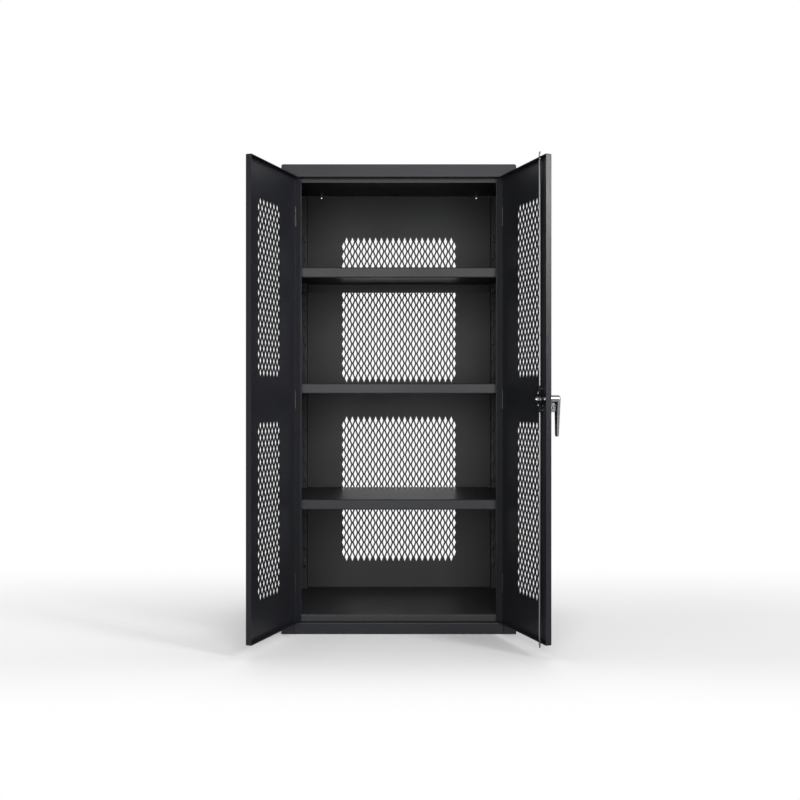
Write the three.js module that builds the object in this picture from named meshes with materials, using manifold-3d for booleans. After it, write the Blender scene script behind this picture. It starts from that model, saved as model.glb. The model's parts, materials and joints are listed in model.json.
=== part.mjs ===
import * as THREE from 'three';
import { mergeVertices, mergeGeometries } from 'three/addons/utils/BufferGeometryUtils.js';
import Module from 'manifold-3d';

// Two-door storage cabinet of welded sheet steel with perforated doors and back.
// Millimetres, +Z up, the front faces -Y. The origin is on the floor at the centre
// of the body's footprint. The doors stand open and their latch rods are shot.

// Body
const bodyWidth = 914.4;
const bodyDepth = 609.6;
const bodyHeight = 1828.8;
const sheet = 2.66;
const seam = 0.3;
const cutOverrun = 1;
const mergeTolerance = 1e-4;
const bendRadius = 1.6;
const bendSteps = 2;
const bodyCornerRadius = 7;
const wrapHeight = 25;

// Front frame
const postWidth = 49.4;
const frameReturn = 29;
const stopWidth = 26.5;
const headerHeight = 48.7;
const headerStopHeight = 17;
const baseRailHeight = 44.8;
const floorHeight = 70.5;
const floorLipHeight = 40;

// Channel under the floor
const channelWidth = 90;
const channelFlange = 25;

// Uprights in the four corners, with a slot at each shelf height
const uprightWidth = 44.5;
const uprightDepth = 32;
const slotPitch = 76.2;
const lowestSlotHeight = 165.8;
const slotHeadroom = 200;
const slotWidth = 15;
const slotHeight = 5;
const slotInset = 4;

// Shelves and the clips that carry them
const shelfShares = [0.2, 0.5, 0.8];
const shelfSetback = 46;
const shelfLip = 41;
const shelfReturn = 25;
const shelfClearance = 2;
const clipRise = 8;
const clipDrop = 14;
const clipReach = 24;
const clipThickness = 2.5;
const clipHookPlay = 0.6;

// Holes in the back panel and the floor
const anchorHoleRadius = 4.5;
const anchorHoleSpacing = 696;
const anchorHoleDrop = 7;
const drainSlotLength = 37;
const drainSlotShift = 4.5;
const drainSlotWidth = 6;
const drainSlotGap = 10;

// Perforation: staggered diamonds in two bands
const bandMargin = 186.4;
const bandGap = 154;
const diamondRise = 15;
const diamondWidth = 31.8;
const diamondHeight = 80;
const backDiamondGap = 27.2;
const backColumns = 9;
const doorDiamondGap = 22.5;
const doorColumns = 4;
const doorBandSetback = 185.2;

// Doors
const doorThickness = 22;
const doorSideGap = 2;
const doorTopGap = 3.1;
const doorBottomGap = 3.2;
const doorMiddleGap = 4;
const doorOpening = THREE.MathUtils.degToRad(109.3);

// Lift-off barrel hinges
const barrelRadius = 4.6;
const barrelLength = 38;
const barrelSetback = 3.1;
const barrelSides = 8;
const barrelBevel = 1.2;
const hingePinRadius = 2.2;
const hingePinPlay = 0.3;
const hingePinLength = 30;
const hingeNotchPlay = 1;
const hingeInset = 114;

// Three-point latch on the right door
const latchBackset = 70.5;
const rodRadius = 4;
const rodSides = 14;
const rodDepth = 10.6;
const rodReach = 24;
const rodTipLength = 10;
const rodTipRadius = 2.2;
const rodThrow = 22;
const rodSway = 6;
const rodEyeThickness = 3;
const rodEyeRadius = 6;
const rodEyeLength = 26;
const rodEyeOverlap = 9;
const camRadius = 27;
const camThickness = 2.66;
const camGap = 0.4;
const camSides = 32;
const camPinRadius = 3;
const camPinPlay = 0.3;
const camPinHeadRadius = 4.8;
const camPinHeadHeight = 2.4;
const camPinSides = 10;
const spindleSize = 9.5;
const spindlePlay = 0.3;
const spindleEnd = 30;
const spindleStudRadius = 4;
const spindleStudShoulder = 18;
const nutRadius = 9.5;
const nutHeight = 6;
const nutStandoff = 1;
const nutSides = 6;
const latchStopRadius = 5.5;
const latchStopDepth = 14;
const latchStopBackset = 29;

// Handle, escutcheon and hasp
const escutcheonWidth = 40;
const escutcheonHeight = 95;
const escutcheonDrop = 0.9;
const escutcheonThickness = 6;
const escutcheonRadius = 12;
const spindleHoleRadius = 7.4;
const haspThickness = 8;
const haspPlay = 1;
const haspHeight = 32;
const haspHoleRadius = 4.5;
const haspHoleInset = 7;
const haspHoleDrop = 16.6;
const haspCorner = 7;
const screwRadius = 2.5;
const screwPlay = 0.3;
const screwNutRadius = 4.4;
const screwNutHeight = 3;
const screwPlaces = [['upper', -3.5, 36.6], ['middle', -9.5, -22.9], ['lower', -9.5, -38.6]];
const screwSides = 8;
const hubRadius = 14.5;
const hubSides = 28;
const leverReach = 66.5;
const leverThickness = 23;
const leverTipThickness = 16;
const leverLength = 135.4;
const leverTipRadius = 8;
const leverTipInset = 3.5;
const leverChamfer = 4;
const leverTipSteps = 8;

// Derived places in the body
const front = -bodyDepth / 2;
const back = bodyDepth / 2;
const halfWidth = bodyWidth / 2;
const jambX = halfWidth - postWidth;
const stopX = jambX - stopWidth;
const stopY = front + frameReturn;
const behindStop = stopY + sheet + seam;
const sideInner = halfWidth - sheet;
const backInner = back - sheet;
const headerBottom = bodyHeight - headerHeight;
const ceiling = bodyHeight - sheet;
const uprightX = sideInner - uprightWidth;
const rearWebY = backInner - seam - uprightDepth;
const frontWebY = behindStop + uprightDepth;
const uprightTop = ceiling - bodyCornerRadius;
const uprightBottom = floorHeight - sheet;
const slotCount = 1 + Math.floor((uprightTop - slotHeadroom - lowestSlotHeight) / slotPitch);
const shelfSlots = shelfShares.map((share) => Math.round(share * slotCount));
const doorEdgeX = jambX - doorSideGap;
const doorFreeX = doorMiddleGap / 2;
const doorTop = headerBottom - doorTopGap;
const doorBottom = baseRailHeight + doorBottomGap;
const doorBack = front + doorThickness;
const hingeX = jambX - seam - barrelRadius;
const hingeY = front + barrelSetback;
const latchX = doorFreeX + latchBackset;
const latchHeight = bodyHeight / 2;
const barrelPair = 2 * barrelLength + seam;
const hingeHeights = [
  doorBottom + hingeInset,
  (doorBottom + doorTop - barrelPair) / 2,
  doorTop - hingeInset - barrelPair,
];
const bandHeight = (bodyHeight - 2 * bandMargin - bandGap) / 2;
const skinInner = front + sheet;
const rodY = front + rodDepth;
const eyeBack = rodY + rodRadius;
const eyeFront = eyeBack - rodEyeThickness;
const camFront = eyeBack + camGap;
const camBack = camFront + camThickness;
const doorFaceGap = front - seam;
const escutcheonFace = doorFaceGap - escutcheonThickness;
const leverInner = front - leverReach + leverThickness;

const wasm = await Module();
wasm.setup();

// Solid operations

function toSolid(geometry) {
  const bare = geometry.clone();
  for (const name of Object.keys(bare.attributes)) {
    if (name !== 'position') bare.deleteAttribute(name);
  }
  const merged = mergeVertices(bare, mergeTolerance);
  return new wasm.Manifold(new wasm.Mesh({
    numProp: 3,
    vertProperties: new Float32Array(merged.attributes.position.array),
    triVerts: new Uint32Array(merged.index.array),
  }));
}

function toGeometry(solid) {
  const mesh = solid.getMesh();
  const geometry = new THREE.BufferGeometry();
  geometry.setAttribute('position', new THREE.BufferAttribute(new Float32Array(mesh.vertProperties), 3));
  geometry.setIndex(new THREE.BufferAttribute(new Uint32Array(mesh.triVerts), 1));
  return geometry;
}

function fuse(geometries) {
  return toGeometry(geometries.map(toSolid).reduce((whole, piece) => whole.add(piece)));
}

function cut(geometry, cutters) {
  const cutSolids = cutters.map(toSolid);
  return toGeometry(cutSolids.reduce((whole, cutter) => whole.subtract(cutter), toSolid(geometry)));
}

function overlap(a, b) {
  return toGeometry(toSolid(a).intersect(toSolid(b)));
}

function bare(geometry) {
  const copy = geometry.clone();
  for (const name of Object.keys(copy.attributes)) {
    if (name !== 'position') copy.deleteAttribute(name);
  }
  return mergeVertices(copy, mergeTolerance);
}

function together(geometries) {
  return mergeGeometries(geometries.map(bare));
}

// The same piece on the other side of the body's middle plane.
function mirrored(geometry) {
  const copy = bare(geometry);
  copy.scale(-1, 1, 1);
  const index = copy.index;
  for (let i = 0; i < index.count; i += 3) {
    const second = index.getX(i + 1);
    index.setX(i + 1, index.getX(i + 2));
    index.setX(i + 2, second);
  }
  return copy;
}

function asDrawn(geometry) {
  return geometry;
}

function pair(geometry) {
  return [geometry, mirrored(geometry)];
}

// Prisms from outlines in a plane, run along one axis

const axes = {
  x: new THREE.Vector3(1, 0, 0),
  y: new THREE.Vector3(0, 1, 0),
  z: new THREE.Vector3(0, 0, 1),
};

function prism(points, length, holes = []) {
  const shape = new THREE.Shape(points.map(([a, b]) => new THREE.Vector2(a, b)));
  for (const hole of holes) {
    shape.holes.push(new THREE.Path(hole.map(([a, b]) => new THREE.Vector2(a, b))));
  }
  return new THREE.ExtrudeGeometry(shape, { depth: length, bevelEnabled: false });
}

function alongX(points, from, to, holes) {
  const geometry = prism(points, to - from, holes);
  geometry.applyMatrix4(new THREE.Matrix4().makeBasis(axes.y, axes.z, axes.x));
  return geometry.translate(from, 0, 0);
}

function alongY(points, from, to, holes) {
  const geometry = prism(points, to - from, holes);
  geometry.applyMatrix4(new THREE.Matrix4().makeBasis(axes.x, axes.z, axes.y.clone().negate()));
  return geometry.translate(0, to, 0);
}

function alongZ(points, from, to, holes) {
  return prism(points, to - from, holes).translate(0, 0, from);
}

function block(x0, x1, y0, y1, z0, z1) {
  const geometry = new THREE.BoxGeometry(x1 - x0, y1 - y0, z1 - z0);
  return geometry.translate((x0 + x1) / 2, (y0 + y1) / 2, (z0 + z1) / 2);
}

function rectangle(a0, a1, b0, b1) {
  return [[a0, b0], [a1, b0], [a1, b1], [a0, b1]];
}

function circle(a, b, radius, sides) {
  return Array.from({ length: sides }, (_, i) => {
    const angle = (2 * Math.PI * (i + 0.5)) / sides;
    return [a + radius * Math.cos(angle), b + radius * Math.sin(angle)];
  });
}

function arc(a, b, radius, start, end, steps) {
  return Array.from({ length: steps + 1 }, (_, i) => {
    const angle = THREE.MathUtils.degToRad(start + ((end - start) * i) / steps);
    return [a + radius * Math.cos(angle), b + radius * Math.sin(angle)];
  });
}

// A rectangle whose corners, from the lower left round to the upper left, have these radii.
function roundedRectangle(a0, a1, b0, b1, radii, steps = bendSteps) {
  const corners = [[a0, b0, 1, 1, 180], [a1, b0, -1, 1, 270], [a1, b1, -1, -1, 0], [a0, b1, 1, -1, 90]];
  return corners.flatMap(([a, b, inA, inB, start], i) => {
    if (radii[i] === 0) return [[a, b]];
    return arc(a + inA * radii[i], b + inB * radii[i], radii[i], start, start + 90, steps);
  });
}

// The section of a folded sheet. The path follows one face of the sheet, whose
// thickness lies to the left of the path (side 1) or to its right (side -1).
function foldedSection(path, side, insideRadius = bendRadius, thickness = sheet) {
  const points = path.map(([a, b]) => new THREE.Vector2(a, b));
  const along = points.slice(1).map((point, i) => point.clone().sub(points[i]).normalize());
  const across = along.map((d) => new THREE.Vector2(-d.y * side, d.x * side));
  const face = [points[0].clone()];
  const hidden = [points[0].clone().addScaledVector(across[0], thickness)];
  for (let i = 1; i < points.length - 1; i += 1) {
    const turn = Math.sign(along[i - 1].cross(along[i])) * side;
    const faceRadius = turn > 0 ? insideRadius + thickness : insideRadius;
    const hiddenRadius = turn > 0 ? insideRadius : insideRadius + thickness;
    const centre = points[i].clone()
      .addScaledVector(along[i - 1], -faceRadius)
      .addScaledVector(across[i - 1], turn * faceRadius);
    for (let k = 0; k <= bendSteps; k += 1) {
      const angle = (Math.PI / 2) * (k / bendSteps);
      const ray = across[i - 1].clone().multiplyScalar(-turn * Math.cos(angle))
        .addScaledVector(along[i - 1], Math.sin(angle));
      face.push(centre.clone().addScaledVector(ray, faceRadius));
      hidden.push(centre.clone().addScaledVector(ray, hiddenRadius));
    }
  }
  const last = points[points.length - 1];
  face.push(last.clone());
  hidden.push(last.clone().addScaledVector(across[across.length - 1], thickness));
  return face.concat(hidden.reverse()).map((point) => [point.x, point.y]);
}

// A round piece turned about an upright axis, from its radius and height at each step.
function turned(steps, sides, x, y) {
  const profile = steps.map(([radius, height]) => new THREE.Vector2(radius, height));
  const geometry = new THREE.LatheGeometry(profile, sides);
  geometry.applyMatrix4(new THREE.Matrix4().makeBasis(axes.x, axes.z, axes.y.clone().negate()));
  return geometry.translate(x, y, 0);
}

// A round piece turned about a line parallel to Y, from its radius and place on Y at each step.
function turnedAlongY(steps, sides, x, z) {
  const profile = steps.map(([radius, y]) => new THREE.Vector2(radius, y));
  return new THREE.LatheGeometry(profile, sides).translate(x, 0, z);
}

// Perforation

function diamond(a, b) {
  const halfA = diamondWidth / 2;
  const halfB = diamondHeight / 2;
  return [[a - halfA, b], [a, b - halfB], [a + halfA, b], [a, b + halfB]];
}

// Short rows lie at the bottom and top of a band, with one diamond fewer than the long rows between.
function band(centre, bottom, columns, gap) {
  const pitch = diamondWidth + gap;
  const shortRows = 1 + Math.round((bandHeight - diamondHeight) / (diamondHeight + diamondRise));
  const rows = 2 * shortRows - 1;
  const rowPitch = (bandHeight - diamondHeight) / (rows - 1);
  const holes = [];
  for (let row = 0; row < rows; row += 1) {
    const count = row % 2 === 0 ? columns - 1 : columns;
    for (let column = 0; column < count; column += 1) {
      const a = centre + (column - (count - 1) / 2) * pitch;
      holes.push(diamond(a, bottom + diamondHeight / 2 + row * rowPitch));
    }
  }
  return holes;
}

function perforation(centre, columns, gap) {
  return [bandMargin, bandMargin + bandHeight + bandGap]
    .flatMap((bottom) => band(centre, bottom, columns, gap));
}

// Finishes

function finish(color, roughness, metalness) {
  return new THREE.MeshStandardMaterial({ color, roughness, metalness });
}

const finishes = {
  coat: () => finish(0x24262a, 0.45, 0.1),
  inside: () => finish(0x1f2124, 0.5, 0.1),
  zinc: () => finish(0xc8cace, 0.28, 1),
  chrome: () => finish(0xb9bcc0, 0.12, 1),
  black: () => finish(0x121214, 0.4, 0.3),
  steel: () => finish(0xa7a9ac, 0.32, 1),
};

function add(parent, name, geometry, look) {
  const shape = geometry.index ? geometry : mergeVertices(geometry);
  shape.computeVertexNormals();
  const mesh = new THREE.Mesh(shape, finishes[look]());
  mesh.name = name;
  parent.add(mesh);
}

const cabinet = new THREE.Group();

// Body shell

function sidePanel() {
  return block(sideInner, halfWidth, front + sheet + seam, back, 0, bodyHeight - wrapHeight - seam);
}

function topPanel() {
  const path = [
    [-halfWidth, bodyHeight - wrapHeight],
    [-halfWidth, bodyHeight],
    [halfWidth, bodyHeight],
    [halfWidth, bodyHeight - wrapHeight],
  ];
  const section = foldedSection(path, -1, bodyCornerRadius - sheet);
  return alongY(section, front + sheet + seam, back);
}

function backPanel() {
  const edge = sideInner - seam;
  const cornerRadius = bodyCornerRadius - sheet;
  const outline = roundedRectangle(-edge, edge, 0, ceiling - seam, [0, 0, cornerRadius, cornerRadius]);
  const anchors = [-1, 1].map((side) => circle(
    (side * anchorHoleSpacing) / 2, ceiling - anchorHoleDrop, anchorHoleRadius, screwSides,
  ));
  const holes = perforation(0, backColumns, backDiamondGap).concat(anchors);
  return alongY(outline, backInner, back, holes);
}

function post() {
  const path = [[halfWidth, front], [jambX, front], [jambX, stopY], [stopX, stopY]];
  return alongZ(foldedSection(path, -1), 0, headerBottom - seam);
}

function header() {
  const face = roundedRectangle(
    -halfWidth, halfWidth, headerBottom, bodyHeight, [0, 0, bodyCornerRadius, bodyCornerRadius],
  );
  const path = [
    [front, ceiling],
    [front, headerBottom],
    [stopY, headerBottom],
    [stopY, headerBottom - headerStopHeight],
  ];
  const inner = stopX - seam;
  const outer = jambX - seam;
  const plate = fuse([
    alongY(face, front, front + sheet),
    alongX(foldedSection(path, 1), -inner, inner),
    block(-outer, outer, front, stopY, headerBottom, headerBottom + sheet),
  ]);
  return cut(plate, [rodPassage(headerBottom, headerBottom + sheet)]);
}

function baseRail() {
  const outer = jambX - seam;
  const rear = stopY - seam;
  const path = [[front, 0], [front, baseRailHeight], [rear, baseRailHeight]];
  const plan = roundedRectangle(-outer, outer, front, rear, [0, 0, bendRadius, bendRadius]);
  const rail = overlap(
    alongX(foldedSection(path, -1), -outer, outer),
    alongZ(plan, -cutOverrun, baseRailHeight + cutOverrun),
  );
  return cut(rail, [rodPassage(baseRailHeight - sheet, baseRailHeight)]);
}

// The long hole that a latch rod passes through, with room for the rod to sway.
function rodPassage(from, to) {
  const halfLength = rodRadius + rodSway;
  const halfBreadth = rodRadius + camPinPlay;
  const outline = roundedRectangle(
    latchX - halfLength, latchX + halfLength, rodY - halfBreadth, rodY + halfBreadth,
    [halfBreadth, halfBreadth, halfBreadth, halfBreadth],
  );
  return alongZ(outline, from - cutOverrun, to + cutOverrun);
}

function floorPan() {
  const lip = stopX - seam;
  const edge = sideInner - seam;
  const rear = backInner - seam;
  const path = [[stopY, floorHeight - floorLipHeight], [stopY, floorHeight], [rear, floorHeight]];
  const pan = fuse([
    alongX(foldedSection(path, -1), -lip, lip),
    block(-edge, edge, behindStop, rear, floorHeight - sheet, floorHeight),
  ]);
  const drainX = uprightX - drainSlotShift;
  const drainY = rearWebY - drainSlotGap;
  const drain = roundedRectangle(
    drainX - drainSlotLength / 2, drainX + drainSlotLength / 2,
    drainY - drainSlotWidth, drainY, Array(4).fill(drainSlotWidth / 2),
  );
  const under = floorHeight - sheet - cutOverrun;
  const over = floorHeight + cutOverrun;
  const notchX = uprightX - seam;
  const notches = [[behindStop - cutOverrun, frontWebY + seam], [rearWebY - seam, rear + cutOverrun]]
    .map(([from, to]) => block(notchX, edge + cutOverrun, from, to, under, over));
  return cut(pan, [alongZ(drain, under, over), ...notches].flatMap(pair));
}

function floorChannel() {
  const half = channelWidth / 2;
  const flange = floorHeight - seam - 2 * sheet;
  const path = [
    [-half - channelFlange, flange],
    [-half, flange],
    [-half, 0],
    [half, 0],
    [half, flange],
    [half + channelFlange, flange],
  ];
  return alongY(foldedSection(path, 1), stopY + sheet + bendRadius, backInner - seam);
}

for (const [side, shape] of [['right', asDrawn], ['left', mirrored]]) {
  add(cabinet, `${side}_side`, shape(sidePanel()), 'coat');
  add(cabinet, `${side}_post`, shape(post()), 'coat');
}
add(cabinet, 'top_panel', topPanel(), 'coat');
add(cabinet, 'back_panel', backPanel(), 'inside');
add(cabinet, 'header', header(), 'coat');
add(cabinet, 'base_rail', baseRail(), 'coat');
add(cabinet, 'floor_pan', floorPan(), 'inside');
add(cabinet, 'floor_channel', floorChannel(), 'coat');

// Uprights

function slotZ(slot) {
  return lowestSlotHeight + slot * slotPitch;
}

function slots(webFrom, webTo) {
  const from = uprightX + slotInset;
  const cutters = Array.from({ length: slotCount }, (_, slot) => block(
    from, from + slotWidth, webFrom - cutOverrun, webTo + cutOverrun, slotZ(slot), slotZ(slot) + slotHeight,
  ));
  return together(cutters);
}

function rearUpright() {
  const path = [[sideInner - seam, rearWebY], [uprightX, rearWebY], [uprightX, backInner - seam]];
  const angle = alongZ(foldedSection(path, -1), uprightBottom, uprightTop);
  return cut(angle, [slots(rearWebY, rearWebY + sheet)]);
}

function frontUpright() {
  const path = [[sideInner - seam, frontWebY], [uprightX, frontWebY], [uprightX, behindStop]];
  const angle = alongZ(foldedSection(path, 1), uprightBottom, uprightTop);
  return cut(angle, [slots(frontWebY - sheet, frontWebY)]);
}

for (const [side, shape] of [['right', asDrawn], ['left', mirrored]]) {
  add(cabinet, `front_${side}_upright`, shape(frontUpright()), 'inside');
  add(cabinet, `rear_${side}_upright`, shape(rearUpright()), 'inside');
}

// Shelves, each a pan whose ends reach between the uprights to the sides

function shelfTop(slot) {
  return slotZ(slot) + clipRise + shelfLip;
}

function shelf(slot) {
  const top = shelfTop(slot);
  const shelfFront = front + shelfSetback;
  const shelfBack = backInner - shelfClearance;
  const middle = uprightX - shelfClearance;
  const end = sideInner - shelfClearance;
  const path = [
    [shelfFront + shelfReturn, top - shelfLip],
    [shelfFront, top - shelfLip],
    [shelfFront, top],
    [shelfBack, top],
    [shelfBack, top - shelfLip],
  ];
  const wing = foldedSection([[0, top], [end, top], [end, top - shelfLip]], -1);
  const right = alongY(wing, frontWebY + shelfClearance, rearWebY - shelfClearance);
  return fuse([alongX(foldedSection(path, -1), -middle, middle), ...pair(right)]);
}

// A clip hooks into an upright's slot and carries one corner of a shelf on its ledge.
function clip(slot, webY, away) {
  const from = uprightX + slotInset + clipHookPlay;
  const ledge = slotZ(slot) + clipRise - seam;
  const face = webY + away * seam;
  const path = [[face, slotZ(slot) - clipDrop], [face, ledge], [face + away * clipReach, ledge]];
  const angle = alongX(
    foldedSection(path, -away, bendRadius, clipThickness), from, sideInner - clipHookPlay,
  );
  const hookStart = face + away * clipThickness;
  const hookEnd = webY - away * (sheet + clipThickness);
  const hook = block(
    from, from + slotWidth - 2 * clipHookPlay,
    Math.min(hookStart, hookEnd), Math.max(hookStart, hookEnd),
    slotZ(slot) + clipHookPlay, slotZ(slot) + slotHeight - clipHookPlay,
  );
  return fuse([angle, hook]);
}

['lower', 'middle', 'upper'].forEach((level, i) => {
  const slot = shelfSlots[i];
  add(cabinet, `${level}_shelf`, shelf(slot), 'coat');
  for (const [end, webY, away] of [['front', frontWebY, 1], ['rear', rearWebY, -1]]) {
    const right = clip(slot, webY, away);
    add(cabinet, `${level}_shelf_clip_${end}_right`, right, 'coat');
    add(cabinet, `${level}_shelf_clip_${end}_left`, mirrored(right), 'coat');
  }
});

// Hinges: the frame's barrel carries the pin, and the door's barrel drops over it

function frameBarrel(height) {
  const top = height + barrelLength;
  const body = [
    [0, height],
    [barrelRadius - barrelBevel, height],
    [barrelRadius, height + barrelBevel],
    [barrelRadius, top],
    [hingePinRadius, top],
    [hingePinRadius, top + hingePinLength],
    [0, top + hingePinLength],
  ];
  return turned(body, barrelSides, hingeX, hingeY);
}

function doorBarrel(height) {
  const bottom = height + barrelLength + seam;
  const top = bottom + barrelLength;
  const bore = hingePinRadius + hingePinPlay;
  const body = [
    [0, bottom + hingePinLength + hingePinPlay],
    [bore, bottom + hingePinLength + hingePinPlay],
    [bore, bottom],
    [barrelRadius, bottom],
    [barrelRadius, top - barrelBevel],
    [barrelRadius - barrelBevel, top],
    [0, top],
  ];
  return turned(body, barrelSides, hingeX, hingeY);
}

function addBarrels(parent, name, barrel, shape) {
  ['lower', 'middle', 'upper'].forEach((level, i) => {
    add(parent, `${name}_${level}`, shape(barrel(hingeHeights[i])), 'coat');
  });
}

addBarrels(cabinet, 'right_frame_barrel', frameBarrel, asDrawn);
addBarrels(cabinet, 'left_frame_barrel', frameBarrel, mirrored);

// Doors, drawn shut on the right and swung open about the hinge

function doorPan() {
  const outerRadius = bendRadius + sheet;
  const outline = roundedRectangle(doorFreeX, doorEdgeX, front, doorBack, [outerRadius, outerRadius, 0, 0]);
  const hollow = roundedRectangle(
    doorFreeX + sheet, doorEdgeX - sheet, skinInner, doorBack + cutOverrun, [bendRadius, bendRadius, 0, 0],
  );
  const pan = cut(
    alongZ(outline, doorBottom, doorTop),
    [alongZ(hollow, doorBottom + sheet, doorTop - sheet)],
  );
  const notches = hingeHeights.map((height) => block(
    hingeX - barrelRadius - seam, doorEdgeX + cutOverrun,
    front - cutOverrun, hingeY + barrelRadius + seam,
    height - hingeNotchPlay, height + barrelPair + hingeNotchPlay,
  ));
  const holes = perforation(doorFreeX + doorBandSetback, doorColumns, doorDiamondGap)
    .map((hole) => alongY(hole, front - cutOverrun, skinInner + cutOverrun));
  return cut(pan, [together(notches), together(holes)]);
}

function screwHoles() {
  return screwPlaces.map(([, across, up]) => circle(
    latchX + across, latchHeight + up, screwRadius + screwPlay, screwSides,
  ));
}

function latchDoorPan() {
  const fixings = screwHoles().map((hole) => alongY(hole, front - cutOverrun, skinInner + cutOverrun));
  const spindleHole = alongY(
    circle(latchX, latchHeight, spindleHoleRadius, camPinSides), front - cutOverrun, skinInner + cutOverrun,
  );
  return cut(doorPan(), [
    together([spindleHole, ...fixings]),
    rodPassage(doorTop - sheet, doorTop),
    rodPassage(doorBottom, doorBottom + sheet),
  ]);
}

function swung(side) {
  const hinge = new THREE.Group();
  hinge.position.set(side * hingeX, hingeY, 0);
  hinge.rotation.z = side * doorOpening;
  const door = new THREE.Group();
  door.position.set(-side * hingeX, -hingeY, 0);
  hinge.add(door);
  cabinet.add(hinge);
  return door;
}

const leftDoor = swung(-1);
add(leftDoor, 'left_door', mirrored(doorPan()), 'coat');
addBarrels(leftDoor, 'left_door_barrel', doorBarrel, mirrored);

const rightDoor = swung(1);
add(rightDoor, 'right_door', latchDoorPan(), 'coat');
addBarrels(rightDoor, 'right_door_barrel', doorBarrel, asDrawn);

// Escutcheon with its hasp, the screws behind it and the cam's stop

function escutcheon() {
  const bottom = latchHeight - escutcheonHeight / 2 - escutcheonDrop;
  const outline = roundedRectangle(
    latchX - escutcheonWidth / 2, latchX + escutcheonWidth / 2,
    bottom, bottom + escutcheonHeight, Array(4).fill(escutcheonRadius), bendSteps * 2,
  );
  const spindleHole = circle(latchX, latchHeight, spindleHoleRadius, camPinSides);
  const plate = alongY(outline, escutcheonFace, doorFaceGap, [spindleHole, ...screwHoles()]);
  const reach = leverInner + haspPlay;
  const top = latchHeight - hubRadius - seam;
  const lug = roundedRectangle(
    reach, escutcheonFace + seam, top - haspHeight, top,
    [haspCorner, 0, 0, haspCorner], bendSteps * 2,
  );
  const eye = circle(reach + haspHoleInset, top - haspHoleDrop, haspHoleRadius, screwSides);
  return fuse([plate, alongX(lug, latchX - haspThickness / 2, latchX + haspThickness / 2, [eye])]);
}

function escutcheonScrew(across, up) {
  const nutBase = skinInner + seam;
  const steps = [
    [0, escutcheonFace + seam],
    [screwRadius, escutcheonFace + seam],
    [screwRadius, nutBase],
    [screwNutRadius, nutBase],
    [screwNutRadius, nutBase + screwNutHeight],
    [0, nutBase + screwNutHeight],
  ];
  return turnedAlongY(steps, screwSides, latchX + across, latchHeight + up);
}

function latchStop() {
  const steps = [
    [0, skinInner + seam],
    [latchStopRadius, skinInner + seam],
    [latchStopRadius, front + latchStopDepth],
    [0, front + latchStopDepth],
  ];
  return turnedAlongY(steps, rodSides, doorFreeX + latchStopBackset, latchHeight);
}

add(rightDoor, 'handle_escutcheon', escutcheon(), 'chrome');
for (const [place, across, up] of screwPlaces) {
  add(rightDoor, `${place}_escutcheon_screw`, escutcheonScrew(across, up), 'steel');
}
add(rightDoor, 'latch_stop', latchStop(), 'steel');

// Handle, spindle and cam, which turn together

function handle() {
  const end = front - leverReach;
  const headCentre = latchHeight;
  const tipCentre = latchHeight - leverLength + leverTipRadius;
  const lean = Math.asin((hubRadius - leverTipRadius) / (headCentre - tipCentre));
  const degrees = THREE.MathUtils.radToDeg(lean);
  const outline = [
    ...arc(latchX, headCentre, hubRadius, -degrees, 180 + degrees, hubSides / 2),
    ...arc(latchX, tipCentre, leverTipRadius, 180 + degrees, 360 - degrees, leverTipSteps),
  ];
  const tip = latchHeight - leverLength;
  const tipOuter = end + leverTipInset;
  const profile = [
    [end, latchHeight + hubRadius - leverChamfer],
    [end, latchHeight - hubRadius],
    [tipOuter, tip + leverChamfer],
    [tipOuter + leverChamfer, tip - cutOverrun],
    [tipOuter + leverTipThickness - leverChamfer, tip - cutOverrun],
    [tipOuter + leverTipThickness, tip + leverChamfer],
    [leverInner, latchHeight - hubRadius],
    [leverInner, latchHeight + hubRadius + cutOverrun],
    [end + leverChamfer, latchHeight + hubRadius + cutOverrun],
  ];
  const lever = overlap(
    alongY(outline, end - cutOverrun, leverInner),
    alongX(profile, latchX - hubRadius - cutOverrun, latchX + hubRadius + cutOverrun),
  );
  const hub = alongY(
    circle(latchX, latchHeight, hubRadius, hubSides),
    leverInner - leverChamfer, escutcheonFace - seam,
  );
  return fuse([lever, hub]);
}

function spindle() {
  const half = spindleSize / 2;
  const square = block(
    latchX - half, latchX + half, escutcheonFace, front + spindleStudShoulder,
    latchHeight - half, latchHeight + half,
  );
  const stud = alongY(
    circle(latchX, latchHeight, spindleStudRadius, camPinSides),
    front + spindleStudShoulder - seam, front + spindleEnd,
  );
  return fuse([square, stud]);
}

function cam() {
  const half = spindleSize / 2 + spindlePlay;
  const square = rectangle(latchX - half, latchX + half, latchHeight - half, latchHeight + half);
  const pinHoles = [-1, 1].map((side) => circle(
    latchX, latchHeight + side * rodThrow, camPinRadius + camPinPlay, camPinSides,
  ));
  return alongY(circle(latchX, latchHeight, camRadius, camSides), camFront, camBack, [square, ...pinHoles]);
}

function spindleNut() {
  const from = front + spindleStudShoulder + nutStandoff;
  const bore = circle(latchX, latchHeight, spindleStudRadius + spindlePlay, camPinSides);
  return alongY(circle(latchX, latchHeight, nutRadius, nutSides), from, from + nutHeight, [bore]);
}

// The cam's pins point towards the door's skin, through the eyes of the rods.
function camPin(side) {
  const steps = [
    [0, eyeFront],
    [camPinRadius, eyeFront],
    [camPinRadius, camBack + seam],
    [camPinHeadRadius, camBack + seam],
    [camPinHeadRadius, camBack + camPinHeadHeight],
    [0, camBack + camPinHeadHeight],
  ];
  return turnedAlongY(steps, camPinSides, latchX, latchHeight + side * rodThrow);
}

add(rightDoor, 'handle', handle(), 'chrome');
add(rightDoor, 'spindle', spindle(), 'steel');
add(rightDoor, 'latch_cam', cam(), 'black');
add(rightDoor, 'spindle_nut', spindleNut(), 'steel');
add(rightDoor, 'top_cam_pin', camPin(1), 'zinc');
add(rightDoor, 'bottom_cam_pin', camPin(-1), 'zinc');

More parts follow.
